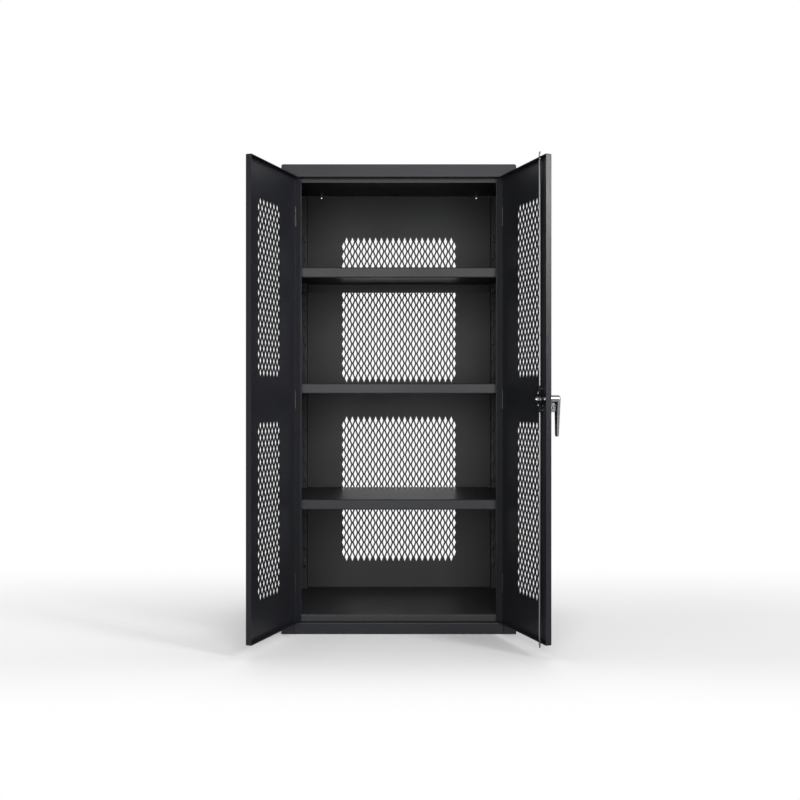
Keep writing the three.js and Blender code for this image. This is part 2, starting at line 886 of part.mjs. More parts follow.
// Latch rods: a flat eye on the cam's pin and a tapered tip past the door's edge

function latchRod(side, doorEnd) {
  const pinZ = latchHeight + side * rodThrow;
  const start = pinZ + side * (rodEyeLength - rodEyeOverlap);
  const tip = doorEnd + side * rodReach;
  const steps = [
    [0, start],
    [rodRadius, start],
    [rodRadius, tip - side * rodTipLength],
    [rodTipRadius, tip],
    [0, tip],
  ];
  const bar = turned(side > 0 ? steps : steps.reverse(), rodSides, latchX, rodY);
  const eyeEnd = pinZ + side * rodEyeLength;
  const rounded = arc(latchX, pinZ, rodEyeRadius, 0, -side * 180, bendSteps * 4);
  const straight = [[latchX - rodEyeRadius, eyeEnd], [latchX + rodEyeRadius, eyeEnd]];
  const hole = circle(latchX, pinZ, camPinRadius + camPinPlay, camPinSides);
  return fuse([bar, alongY([...rounded, ...straight], eyeFront, eyeBack, [hole])]);
}

add(rightDoor, 'top_rod', latchRod(1, doorTop), 'zinc');
add(rightDoor, 'bottom_rod', latchRod(-1, doorBottom), 'zinc');

export default cabinet;
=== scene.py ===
import json
from math import copysign, pi, radians

import bpy
import bmesh
from mathutils import Matrix, Vector


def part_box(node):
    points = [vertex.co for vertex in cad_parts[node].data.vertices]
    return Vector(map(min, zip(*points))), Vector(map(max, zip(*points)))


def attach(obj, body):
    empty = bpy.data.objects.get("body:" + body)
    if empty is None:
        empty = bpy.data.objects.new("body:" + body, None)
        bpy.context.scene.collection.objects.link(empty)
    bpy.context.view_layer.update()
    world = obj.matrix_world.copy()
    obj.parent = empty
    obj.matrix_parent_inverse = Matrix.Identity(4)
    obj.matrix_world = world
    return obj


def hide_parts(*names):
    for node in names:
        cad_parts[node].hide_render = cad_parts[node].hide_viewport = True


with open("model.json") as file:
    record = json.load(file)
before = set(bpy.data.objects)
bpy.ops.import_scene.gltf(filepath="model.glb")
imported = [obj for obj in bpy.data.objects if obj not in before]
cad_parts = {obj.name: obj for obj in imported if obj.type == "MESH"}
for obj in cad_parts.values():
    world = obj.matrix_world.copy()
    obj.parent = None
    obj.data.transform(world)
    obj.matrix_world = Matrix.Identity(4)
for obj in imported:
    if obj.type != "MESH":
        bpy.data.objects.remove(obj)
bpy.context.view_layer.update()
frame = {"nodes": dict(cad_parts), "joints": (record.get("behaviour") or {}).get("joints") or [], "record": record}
nodes = frame["nodes"]
joints = {joint["name"]: joint for joint in frame["joints"]}

# Dresses the cabinet: fine perforation, hinges, tabs and latch over its CAD nodes, materials,
# and the floor, light and camera. Lengths are in metres and angles in degrees, and the front
# looks along -Y.
MM = 0.001
X, Y, Z = range(3)

# Shared by all pieces: what counts as the same place, and how pieces fit, overlap and are cut
SAME_POINT = 0.01 * MM
ON_LINE = 0.1 * MM
FIT = 0.3 * MM
EMBED = 0.3 * MM
OVERRUN = 5 * MM
CUTTER_LENGTH = 30 * MM
SMOOTH_ANGLE = 35

# Folded sheet
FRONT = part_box("header")[0].y
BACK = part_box("back_panel")[1].y
SHEET = 2.66 * MM
DOOR_BEND = 3 * MM
DOOR_BEND_ANGLE = 60
FOLD_ROUNDING = 0.5 * MM
CAM_ROUNDING = 0.4 * MM
FOLD_ANGLE = 50
FLAT_ANGLE = 0.5
FOLDED_NODES = (
    "header", "base_rail", "left_post", "right_post", "floor_pan", "top_panel",
    "lower_shelf", "middle_shelf", "upper_shelf", "left_side", "right_side",
)

# Perforation: staggered diamonds in two bands. The doors' rows are a little wider apart than
# the back's.
DIAMOND_WIDTH = 14.3 * MM
LONG_ROWS = 14
TILE_INSET = 0.05
BACK_PATTERN = {
    "height": 37.4 * MM, "row": 43.83 * MM, "column": 26.18 * MM, "columns": 20,
    "bottom": 186.4 * MM, "spacing": 805 * MM,
}
DOOR_PATTERN = {
    "height": 37.8 * MM, "row": 44.27 * MM, "column": 27.15 * MM, "columns": 7,
    "bottom": 179.9 * MM, "spacing": 811.2 * MM,
}
ANCHOR_SPACING = 696 * MM
ANCHOR_DROP = 6.7 * MM
ANCHOR_RADIUS = 2.8 * MM

# Doors, drawn shut and then swung open
DOOR_MIDDLE = 2 * MM
DOOR_EDGE = 405.8 * MM
DOOR_BOTTOM = 48 * MM
DOOR_TOP = 1777 * MM
DOOR_DEPTH = 22 * MM
DOOR_INNER = FRONT + SHEET + FIT
DOOR_RIM = ((X, DOOR_MIDDLE), (X, DOOR_EDGE), (Z, DOOR_BOTTOM), (Z, DOOR_TOP))
DOOR_PATTERN_SETBACK = 178.2 * MM
DOOR_OPENING = joints["left_door_hinge"]["range_deg"][1]

# Hinges: the door's barrel drops over the pin that stands in the frame's
LEVELS = ("lower", "middle", "upper")
HINGE = Vector(joints["right_door_hinge"]["pos_m"])
BARREL_RADIUS = 4.6 * MM
BARREL_ROUNDING = 1.2 * MM
BARREL_EASE = 0.4 * MM
PIN_RADIUS = 2.2 * MM
PIN_HEIGHT = 30 * MM
PIN_POINT = 1 * MM
PIN_TAPER = 0.8 * MM
NOTCH_WIDTH = 7.8 * MM
NOTCH_HEIGHT = 78.3 * MM
NOTCH_PLAY = 1 * MM

# Tabs on the uprights: flush with the web at the top and proud at the bottom
TAB_WIDTH = 15 * MM
TAB_HEIGHT = 26 * MM
TAB_ROOT = 0.4 * MM
TAB_SKIN = 0.2 * MM
TAB_RELIEF = 1.7 * MM
TAB_ROUNDING = 0.15 * MM
TAB_INSET = 4 * MM
TAB_BOTTOM = 175 * MM
TAB_PITCH = 76.2 * MM
TAB_COUNT = 20

# Latch rods, each with an eye that hangs on its cam pin
LATCH_HEIGHT = joints["handle_turn"]["pos_m"][Z]
LATCH_BACKSET = 70.5 * MM
LATCH_X = DOOR_MIDDLE + LATCH_BACKSET
ROD_SETBACK = 10.6 * MM
ROD_RADIUS = 4 * MM
ROD_REACH = 24 * MM
ROD_SWAY = 6 * MM
ROD_TIP_LENGTH = 10 * MM
ROD_TIP_RADIUS = 2.6 * MM
ROD_TIP_EASE = 0.8 * MM
ROD_END_RADIUS = 1.9 * MM
ROD_SLOT_REACH = 8 * MM
EYE_RADIUS = 6 * MM
EYE_THICKNESS = 3 * MM
EYE_LENGTH = 26 * MM
EYE_OVERLAP = 9 * MM
EYE_BACK = FRONT + ROD_SETBACK + ROD_RADIUS

# Cam pins, stop stud and screws. A head is a list of its radius and height, in millimetres.
CAM_THICKNESS = 2.66 * MM
CAM_GAP = 0.4 * MM
CAM_BACK = EYE_BACK + CAM_THICKNESS + CAM_GAP
CAM_PIN_THROW = 22 * MM
CAM_PIN_RADIUS = 3 * MM
CAM_PIN_HEAD = ((4.8, 0), (4.8, 0.9), (3.9, 1.8), (2, 2.1))
STUD_BACKSET = 29 * MM
STUD_RADIUS = 5.5 * MM
STUD_DEPTH = 14 * MM
STUD_EASE = 1 * MM
SCREW_RADIUS = 2.5 * MM
SCREW_HOLE_RADIUS = 2.8 * MM
SCREW_NUT = ((4.4, 0), (4.4, 2.2), (3.4, 3))
SCREW_PLACES = {
    "upper": (-3.5 * MM, 36.6 * MM),
    "middle": (-9.5 * MM, -22.9 * MM),
    "lower": (-9.5 * MM, -38.6 * MM),
}

# Escutcheon plate, and its lug for a padlock
SPINDLE_HOLE_RADIUS = 7.4 * MM
PLATE_WIDTH = 40 * MM
PLATE_HEIGHT = 95 * MM
PLATE_THICKNESS = 6 * MM
PLATE_DROP = 0.9 * MM
PLATE_BACK = FRONT - FIT
PLATE_FACE = PLATE_BACK - PLATE_THICKNESS
PLATE_CORNER = 12 * MM
PLATE_ROUNDING = 1.6 * MM
PLATE_SMOOTH_ANGLE = 30
LUG_CLEARANCE = 5 * MM
LUG_THICKNESS = 8 * MM
LUG_HEIGHT = 32 * MM
LUG_CORNER = 7 * MM

# Lever, on a hub with a groove round it
HUB_RADIUS = 14.5 * MM
HUB_EASE = 0.5 * MM
HUB_OVERLAP = 4 * MM
GROOVE_START = 7 * MM
GROOVE_END = 10.8 * MM
GROOVE_DEPTH = 1.2 * MM
GROOVE_SLOPE = 0.8 * MM
LEVER_REACH = 66.5 * MM
LEVER_THICKNESS = 12 * MM
LEVER_OUTER = FRONT - LEVER_REACH
LEVER_INNER = LEVER_OUTER + LEVER_THICKNESS
LEVER_LENGTH = 135.4 * MM
LEVER_TIP_RADIUS = 8 * MM
LEVER_TIP_THICKNESS = 9.5 * MM
LEVER_TIP_INSET = 3.5 * MM
LEVER_ROUNDING = 2.2 * MM
LEVER_EDGE_ANGLE = 60
LEVER_SMOOTH_ANGLE = 40
PADLOCK_HOLE_RADIUS = 4.5 * MM
PADLOCK_HOLE_SETBACK = 31 * MM
PADLOCK_HOLE_DROP = 16.6 * MM


# Modelling steps

def deselect():
    """Leaves nothing selected, so that the next operator works on the new piece alone."""
    if bpy.context.object and bpy.context.object.mode != "OBJECT":
        bpy.ops.object.mode_set(mode="OBJECT")
    bpy.ops.object.select_all(action="DESELECT")


def choose(*pieces):
    deselect()
    for piece in pieces:
        piece.select_set(True)
    bpy.context.view_layer.objects.active = pieces[0]


def settle(piece):
    """Puts the piece's place into its mesh."""
    choose(piece)
    bpy.ops.object.transform_apply(location=True, rotation=True, scale=True)
    return piece


def edit(piece, mode="VERT", action="DESELECT"):
    """Opens the piece's mesh, with nothing or all of it selected."""
    choose(piece)
    bpy.ops.object.mode_set(mode="EDIT")
    bpy.ops.mesh.select_mode(type=mode)
    bpy.ops.mesh.select_all(action=action)
    return bmesh.from_edit_mesh(piece.data)


def done(piece):
    bmesh.update_edit_mesh(piece.data)
    bpy.ops.object.mode_set(mode="OBJECT")


def select(elements, chosen):
    for element in elements:
        if chosen(element):
            element.select_set(True)


def apply_modifiers(piece):
    choose(piece)
    for modifier in list(piece.modifiers):
        bpy.ops.object.modifier_apply(modifier=modifier.name)
    return piece


def join(pieces):
    choose(*pieces)
    bpy.ops.object.join()
    return bpy.context.object


def copied(piece, place=(0, 0, 0)):
    """A copy of the piece with its own mesh, moved to the place."""
    twin = piece.copy()
    twin.data = piece.data.copy()
    bpy.context.collection.objects.link(twin)
    twin.location = place
    return settle(twin)


def mirror(piece, axis):
    piece.scale[axis] = -1
    settle(piece)
    edit(piece, "FACE", "SELECT")
    bpy.ops.mesh.flip_normals()
    done(piece)


def merge(piece):
    """Makes one vertex of those that share a place."""
    edit(piece, action="SELECT")
    bpy.ops.mesh.remove_doubles(threshold=SAME_POINT)
    done(piece)


def face_alike(piece):
    """Turns all faces the same way, which is outward on a closed piece."""
    edit(piece, action="SELECT")
    bpy.ops.mesh.normals_make_consistent(inside=False)
    done(piece)


def smooth(piece, angle=SMOOTH_ANGLE):
    choose(piece)
    bpy.ops.object.shade_smooth_by_angle(angle=radians(angle))
    return piece


def combine(piece, other, operation):
    modifier = piece.modifiers.new("combine", "BOOLEAN")
    modifier.operation = operation
    modifier.solver = "EXACT"
    modifier.object = other
    apply_modifiers(piece)
    bpy.data.objects.remove(other)


def cut(piece, cutter):
    """Takes the cutter's shape out of the piece."""
    combine(piece, cutter, "DIFFERENCE")


def unite(piece, other):
    """Makes the other a part of the piece."""
    combine(piece, other, "UNION")


def repeat(piece, count, step):
    """Repeats the piece along the step, in one mesh."""
    array = piece.modifiers.new("repeat", "ARRAY")
    array.count = count
    array.use_relative_offset = False
    array.use_constant_offset = True
    array.constant_offset_displace = step
    return apply_modifiers(piece)


def bevel(piece, width, angle, segments):
    """Rounds the edges that turn by more than the angle, with a modifier."""
    modifier = piece.modifiers.new("bevel", "BEVEL")
    modifier.width = width
    modifier.segments = segments
    modifier.limit_method = "ANGLE"
    modifier.angle_limit = radians(angle)


def rounded(piece, chosen, width, segments):
    """Rounds the chosen edges, in the mesh."""
    mesh = edit(piece, "EDGE")
    select(mesh.edges, chosen)
    bpy.ops.mesh.bevel(offset=width, segments=segments)
    done(piece)


def both_ends(chosen):
    """A test for edges that both ends have to pass."""
    return lambda edge: all(chosen(vertex.co) for vertex in edge.verts)


def runs_along(edge, axis):
    start, end = (vertex.co for vertex in edge.verts)
    return abs(end[axis] - start[axis]) > ON_LINE


def block(low, high):
    low, high = Vector(low), Vector(high)
    deselect()
    bpy.ops.mesh.primitive_cube_add(size=1, location=(low + high) / 2)
    piece = bpy.context.object
    piece.scale = high - low
    return settle(piece)


def cylinder(place, radius, length, axis=Y, sides=32):
    turn = {X: (0, pi / 2, 0), Y: (pi / 2, 0, 0), Z: (0, 0, 0)}[axis]
    deselect()
    bpy.ops.mesh.primitive_cylinder_add(
        vertices=sides, radius=radius, depth=length, location=place, rotation=turn
    )
    return settle(bpy.context.object)


def spun(steps, axis=Z, place=(0, 0, 0), sides=40):
    """A round piece turned from its radius and its place along the axis at each step."""
    radius, at = steps[0]
    deselect()
    bpy.ops.mesh.primitive_circle_add(
        vertices=sides, radius=radius, fill_type="NGON", location=(0, 0, at)
    )
    piece = settle(bpy.context.object)
    edit(piece, "FACE", "SELECT")
    for next_radius, next_at in steps[1:]:
        bpy.ops.mesh.extrude_region_move(
            TRANSFORM_OT_translate={"value": (0, 0, next_at - at)}
        )
        ratio = next_radius / radius
        bpy.ops.transform.resize(value=(ratio, ratio, 1), center_override=(0, 0, next_at))
        radius, at = next_radius, next_at
    done(piece)
    face_alike(piece)
    if axis == Y:
        piece.rotation_euler.x = -pi / 2
    piece.location = place
    return smooth(settle(piece))


def swing(piece, side):
    """Opens a piece that was drawn with its door shut: side is 1 for the right door."""
    hinge = Vector((side * HINGE.x, HINGE.y, 0))
    turn = Matrix.Rotation(radians(side * DOOR_OPENING), 4, "Z")
    piece.matrix_world = (
        Matrix.Translation(hinge) @ turn @ Matrix.Translation(-hinge) @ piece.matrix_world
    )
    return settle(piece)


# Shader steps

def feed(tree, socket, value):
    """Links the socket where the value is a node's output, and otherwise sets it."""
    if isinstance(value, bpy.types.NodeSocket):
        tree.links.new(value, socket)
    else:
        socket.default_value = value


def calculate(tree, operation, *values):
    node = tree.nodes.new("ShaderNodeMath")
    node.operation = operation
    for socket, value in zip(node.inputs, values):
        feed(tree, socket, value)
    return node.outputs["Value"]


def product(tree, result, *values):
    for value in values:
        result = calculate(tree, "MULTIPLY", result, value)
    return result


def ramp(tree, value, start, end, low=0.0, high=1.0, kind="SMOOTHSTEP"):
    """Runs from low to high while the value runs from start to end."""
    node = tree.nodes.new("ShaderNodeMapRange")
    node.interpolation_type = kind
    feed(tree, node.inputs["Value"], value)
    feed(tree, node.inputs["From Min"], start)
    feed(tree, node.inputs["From Max"], end)
    feed(tree, node.inputs["To Min"], low)
    feed(tree, node.inputs["To Max"], high)
    return node.outputs["Result"]


def noise(tree, place, scale, detail):
    node = tree.nodes.new("ShaderNodeTexNoise")
    node.inputs["Scale"].default_value = scale
    node.inputs["Detail"].default_value = detail
    tree.links.new(place, node.inputs["Vector"])
    return node.outputs


def tinted(tree, colour, pattern, share):
    """The colour, with a share of the pattern multiplied into it."""
    node = tree.nodes.new("ShaderNodeMix")
    node.data_type = "RGBA"
    node.blend_type = "MULTIPLY"
    node.inputs["Factor"].default_value = share
    first, second = (socket for socket in node.inputs if socket.type == "RGBA")
    tree.links.new(colour, first)
    tree.links.new(pattern, second)
    return next(socket for socket in node.outputs if socket.type == "RGBA")


def seen_directly(tree):
    """1 for the rays that show the background: straight, mirrored and through glass."""
    rays = tree.nodes.new("ShaderNodeLightPath").outputs
    straight = calculate(tree, "MAXIMUM", rays["Is Camera Ray"], rays["Is Transmission Ray"])
    return calculate(tree, "MAXIMUM", straight, rays["Is Glossy Ray"])


# Materials

PEEL_SCALE = 900
PEEL_DETAIL = 2
DRIFT_SCALE = 3.5
DRIFT_DETAIL = 3
DRIFT_SPAN = (0.3, 0.7)
DRIFT_TONE = 0.12
DRIFT_GLOSS = 0.03
LINE_SCALE = 700
LINE_DETAIL = 3
LINE_STRETCH = 0.02
LINE_TONE = 0.18
LINE_GLOSS = 0.12
RELIEF = 0.1 * MM


def surface_group(name):
    """A node group that makes a surface's relief, tone and gloss from a colour and a roughness."""
    tree = bpy.data.node_groups.new(name, "ShaderNodeTree")
    for label, way, kind in (
        ("Colour", "INPUT", "NodeSocketColor"), ("Roughness", "INPUT", "NodeSocketFloat"),
        ("Height", "OUTPUT", "NodeSocketFloat"), ("Tone", "OUTPUT", "NodeSocketColor"),
        ("Gloss", "OUTPUT", "NodeSocketFloat"),
    ):
        tree.interface.new_socket(label, in_out=way, socket_type=kind)
    place = tree.nodes.new("ShaderNodeTexCoord").outputs["Object"]
    given = tree.nodes.new("NodeGroupInput").outputs
    return tree, place, given, tree.nodes.new("NodeGroupOutput").inputs


def powder_group():
    """The orange-peel of a powder coat: its height, a slow change of tone and of gloss."""
    tree, place, given, out = surface_group("powder_coat")
    peel = noise(tree, place, PEEL_SCALE, PEEL_DETAIL)
    drift = noise(tree, place, DRIFT_SCALE, DRIFT_DETAIL)
    glossiest = calculate(tree, "ADD", given["Roughness"], -DRIFT_GLOSS)
    dullest = calculate(tree, "ADD", given["Roughness"], DRIFT_GLOSS)
    gloss = ramp(tree, drift["Fac"], *DRIFT_SPAN, glossiest, dullest, kind="LINEAR")
    feed(tree, out["Height"], peel["Fac"])
    feed(tree, out["Tone"], tinted(tree, given["Colour"], drift["Color"], DRIFT_TONE))
    feed(tree, out["Gloss"], gloss)
    return tree


def drawn_group():
    """The fine lines that drawing or brushing leaves on bare metal, run along one axis."""
    tree, place, given, out = surface_group("drawn_metal")
    stretch = tree.nodes.new("ShaderNodeMapping")
    stretch.inputs["Scale"].default_value = (1, 1, LINE_STRETCH)
    tree.links.new(place, stretch.inputs["Vector"])
    lines = noise(tree, stretch.outputs["Vector"], LINE_SCALE, LINE_DETAIL)
    gloss = calculate(tree, "MULTIPLY_ADD", lines["Fac"], LINE_GLOSS, given["Roughness"])
    feed(tree, out["Height"], lines["Fac"])
    feed(tree, out["Tone"], tinted(tree, given["Colour"], lines["Color"], LINE_TONE))
    feed(tree, out["Gloss"], gloss)
    return tree


POWDER = powder_group()
DRAWN = drawn_group()


def material_of(name, surface, color, roughness, bump, metallic=0.0, specular=0.5):
    material = bpy.data.materials.new(name)
    material.use_nodes = True
    tree = material.node_tree
    shader = tree.nodes["Principled BSDF"]
    shader.inputs["Metallic"].default_value = metallic
    shader.inputs["Specular IOR Level"].default_value = specular
    effect = tree.nodes.new("ShaderNodeGroup")
    effect.node_tree = surface
    effect.inputs["Colour"].default_value = (*color, 1)
    effect.inputs["Roughness"].default_value = roughness
    relief = tree.nodes.new("ShaderNodeBump")
    relief.inputs["Strength"].default_value = bump
    relief.inputs["Distance"].default_value = RELIEF
    tree.links.new(effect.outputs["Tone"], shader.inputs["Base Color"])
    tree.links.new(effect.outputs["Gloss"], shader.inputs["Roughness"])
    tree.links.new(effect.outputs["Height"], relief.inputs["Height"])
    tree.links.new(relief.outputs["Normal"], shader.inputs["Normal"])
    return material


# A look for each of the record's slots, and "drawn" for small pieces of two of them. Each has
# its colour, roughness and strength of relief.
LOOKS = {
    "coat": material_of(
        "charcoal_coat", POWDER, (0.0095, 0.0099, 0.0122), 0.37, 0.25, specular=0.155
    ),
    "inside": material_of(
        "charcoal_inside", POWDER, (0.0195, 0.0197, 0.021), 0.5, 0.25, specular=0.18
    ),
    # The black look is also painted shade on the hinge knuckles.
    "black": material_of(
        "black_oxide", POWDER, (0.005, 0.005, 0.0056), 0.36, 0.15, specular=0.2
    ),
    "zinc": material_of("bright_zinc", DRAWN, (0.78, 0.79, 0.81), 0.2, 0.15, metallic=1.0),
    "drawn": material_of("drawn_rod", DRAWN, (0.2, 0.203, 0.212), 0.24, 0.15, metallic=1.0),
    "chrome": material_of("satin_chrome", DRAWN, (0.23, 0.232, 0.238), 0.17, 0.04, metallic=1.0),
    "steel": material_of("plain_steel", DRAWN, (0.7, 0.71, 0.73), 0.22, 0.15, metallic=1.0),
}


def paint(piece, look):
    piece.data.materials.clear()
    piece.data.materials.append(LOOKS[look])


def finish(piece, name, slot, body, *replaced, look=None):
    """Names the piece, paints it, and says what it stands for and moves with."""
    piece.name = name
    piece.data.name = name
    paint(piece, look or slot)
    if replaced:
        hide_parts(*replaced)
    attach(piece, body)


# CAD nodes that stay: their finishes, and folds that catch the light as bent sheet does

def soften(node, width):
    piece = nodes[node]
    weld = piece.modifiers.new("weld", "WELD")
    weld.merge_threshold = SAME_POINT
    flat = piece.modifiers.new("flatten", "DECIMATE")
    flat.decimate_type = "DISSOLVE"
    flat.angle_limit = radians(FLAT_ANGLE)
    bevel(piece, width, FOLD_ANGLE, segments=2)


for part in frame["record"]["subparts"]:
    paint(nodes[part["node"]], part["material_slot"])
for node in FOLDED_NODES:
    soften(node, FOLD_ROUNDING)
soften("latch_cam", CAM_ROUNDING)


# Perforated sheet: diamond tiles fill the bands, and the plain border is drawn out from their
# edge

def tile(x, z, pattern):
    """One diamond hole with its share of the strands round it."""
    deselect()
    bpy.ops.mesh.primitive_circle_add(
        vertices=4, radius=1, fill_type="NGON", location=(x, 0, z), rotation=(pi / 2, 0, 0)
    )
    piece = bpy.context.object
    piece.scale = (pattern["column"] / 2, pattern["row"] / 2, 1)
    settle(piece)
    edit(piece, "FACE", "SELECT")
    bpy.ops.mesh.inset(thickness=TILE_INSET * pattern["column"])
    mesh = bmesh.from_edit_mesh(piece.data)
    hole = next(face for face in mesh.faces if face.select)
    for corner in hole.verts:
        offset = corner.co - Vector((x, 0, z))
        if abs(offset.x) > abs(offset.z):
            corner.co = (x + copysign(DIAMOND_WIDTH / 2, offset.x), 0, z)
        else:
            corner.co = (x, 0, z + copysign(pattern["height"] / 2, offset.z))
    bpy.ops.mesh.delete(type="FACE")
    done(piece)
    return piece


def lattice(x, z, pattern, columns, rows):
    """Tiles round the middle column at X, upward from the row at Z."""
    piece = tile(x - (columns - 1) * pattern["column"] / 2, z, pattern)
    repeat(piece, columns, (pattern["column"], 0, 0))
    return repeat(piece, rows, (0, 0, pattern["row"]))


def rims_hole(edge, pattern):
    """Whether the edge is a side of a diamond."""
    span = edge.verts[0].co - edge.verts[1].co
    return (abs(abs(span.x) - DIAMOND_WIDTH / 2) < ON_LINE
            and abs(abs(span.z) - pattern["height"] / 2) < ON_LINE)


def draw_out(sheet, pattern, chosen, axis, target):
    """Extrudes the pattern's open outer edges whose ends are chosen, out to one line."""
    mesh = edit(sheet, "EDGE")
    reaches = both_ends(chosen)
    select(mesh.edges, lambda edge: (
        len(edge.link_faces) == 1 and not rims_hole(edge, pattern) and reaches(edge)
    ))
    bpy.ops.mesh.extrude_edges_move()
    mesh = bmesh.from_edit_mesh(sheet.data)
    for vertex in mesh.verts:
        if vertex.select:
            vertex.co[axis] = target
    done(sheet)


def perforated(low, high, centre, pattern):
    """A flat sheet facing -Y at Y 0, between two corners, with two bands of holes."""
    parts, ends = [], []
    row, columns = pattern["row"], pattern["columns"]
    for band in range(2):
        first = pattern["bottom"] + band * pattern["spacing"] + pattern["height"] / 2
        ends.append((first, first + LONG_ROWS * row))
        parts.append(lattice(centre, first, pattern, columns - 1, LONG_ROWS + 1))
        parts.append(lattice(centre, first + row / 2, pattern, columns, LONG_ROWS))
    sheet = join(parts)
    merge(sheet)
    reach = (columns - 1) * pattern["column"] / 2 - ON_LINE
    (lowest, below), (above, highest) = ends
    middle = (below + above) / 2
    for chosen, axis, target in (
        (lambda at: at.x < centre - reach, X, low[0]),
        (lambda at: at.x > centre + reach, X, high[0]),
        (lambda at: at.z < lowest + ON_LINE, Z, low[1]),
        (lambda at: below - ON_LINE < at.z < middle, Z, middle),
        (lambda at: middle + ON_LINE < at.z < above + ON_LINE, Z, middle),
        (lambda at: at.z > highest - ON_LINE, Z, high[1]),
    ):
        draw_out(sheet, pattern, chosen, axis, target)
    merge(sheet)
    face_alike(sheet)
    mesh = edit(sheet, "FACE")
    select(mesh.faces, lambda face: face.normal.y > 0)
    bpy.ops.mesh.flip_normals()
    done(sheet)
    return sheet


def thicken(sheet, y, even):
    """Puts the flat sheet at Y, and gives it its thickness."""
    sheet.location.y = y
    settle(sheet)
    solid = sheet.modifiers.new("sheet", "SOLIDIFY")
    solid.thickness = SHEET
    solid.offset = -1
    solid.use_even_offset = even
    apply_modifiers(sheet)


def back_panel():
    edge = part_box("back_panel")[1]
    sheet = perforated((-edge.x, 0), (edge.x, edge.z), 0, BACK_PATTERN)
    thicken(sheet, BACK - SHEET, even=False)
    for side in (-1, 1):
        place = (side * ANCHOR_SPACING / 2, BACK, edge.z - ANCHOR_DROP)
        cut(sheet, cylinder(place, ANCHOR_RADIUS, CUTTER_LENGTH))
    finish(sheet, "back_sheet", "inside", "cabinet", "back_panel")


def door_pan():
    """The right door, shut: a perforated front with folded edges, notched for the hinges."""
    sheet = perforated(
        (DOOR_MIDDLE, DOOR_BOTTOM), (DOOR_EDGE, DOOR_TOP),
        DOOR_MIDDLE + DOOR_PATTERN_SETBACK, DOOR_PATTERN,
    )
    mesh = edit(sheet, "EDGE")
    select(mesh.edges, lambda edge: any(
        all(abs(vertex.co[axis] - line) < ON_LINE for vertex in edge.verts)
        for axis, line in DOOR_RIM
    ))
    bpy.ops.mesh.extrude_region_move(TRANSFORM_OT_translate={"value": (0, DOOR_DEPTH, 0)})
    done(sheet)
    bevel(sheet, DOOR_BEND, DOOR_BEND_ANGLE, segments=4)
    apply_modifiers(sheet)
    thicken(sheet, FRONT, even=True)
    for level in LEVELS:
        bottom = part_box(f"right_frame_barrel_{level}")[0].z - NOTCH_PLAY
        cut(sheet, block(
            (DOOR_EDGE - NOTCH_WIDTH, FRONT - OVERRUN, bottom),
            (DOOR_EDGE + OVERRUN, HINGE.y + BARREL_RADIUS + FIT, bottom + NOTCH_HEIGHT),
        ))
    return sheet


def doors():
    """One pan, mirrored for the left door, and copied for the right with the latch's openings."""
    left = door_pan()
    right = copied(left)
    mirror(left, X)
    sway = ROD_RADIUS + ROD_SWAY
    play = ROD_RADIUS + FIT
    for end in (DOOR_BOTTOM, DOOR_TOP):
        cut(right, block(
            (LATCH_X - sway, FRONT + ROD_SETBACK - play, end - ROD_SLOT_REACH),
            (LATCH_X + sway, FRONT + ROD_SETBACK + play, end + ROD_SLOT_REACH),
        ))
    place = (LATCH_X, FRONT, LATCH_HEIGHT)
    cut(right, cylinder(place, SPINDLE_HOLE_RADIUS, CUTTER_LENGTH))
    for side, sheet, node in ((-1, left, "left_door"), (1, right, "right_door")):
        swing(sheet, side)
        finish(sheet, f"{node}_pan", "coat", node, node)


# Small pieces: hinges, tabs on the uprights, and the latch

def hinges():
    """One frame barrel with its pin and one door barrel, copied to every hinge."""
    low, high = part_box("right_frame_barrel_lower")
    height = high.z - low.z
    shoulder = height - PIN_HEIGHT
    frame_barrel = spun([
        (BARREL_RADIUS - BARREL_ROUNDING, 0), (BARREL_RADIUS, BARREL_ROUNDING),
        (BARREL_RADIUS, shoulder - BARREL_EASE), (BARREL_RADIUS - BARREL_EASE, shoulder),
        (PIN_RADIUS, shoulder), (PIN_RADIUS, height - PIN_POINT),
        (PIN_RADIUS - PIN_TAPER, height),
    ])
    low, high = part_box("right_door_barrel_lower")
    height = high.z - low.z
    door_barrel = spun([
        (BARREL_RADIUS - BARREL_EASE, 0), (BARREL_RADIUS, BARREL_EASE),
        (BARREL_RADIUS, height - BARREL_ROUNDING), (BARREL_RADIUS - BARREL_ROUNDING, height),
    ])
    cut(door_barrel, cylinder((0, 0, 0), PIN_RADIUS + FIT, 2 * (PIN_HEIGHT + FIT), Z))
    smooth(door_barrel)
    for side, hand in ((1, "right"), (-1, "left")):
        for level in LEVELS:
            for barrel, part, body in (
                (frame_barrel, "frame", "cabinet"), (door_barrel, "door", f"{hand}_door"),
            ):
                node = f"{hand}_{part}_barrel_{level}"
                piece = copied(barrel, (side * HINGE.x, HINGE.y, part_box(node)[0].z))
                name = f"{hand}_{part}_knuckle_{level}"
                # The knuckles take the darker black look in place of their coat, as painted shade that keeps them
                # from catching light in the door notches.
                finish(piece, name, "coat", body, node, look="black")
    bpy.data.objects.remove(frame_barrel)
    bpy.data.objects.remove(door_barrel)


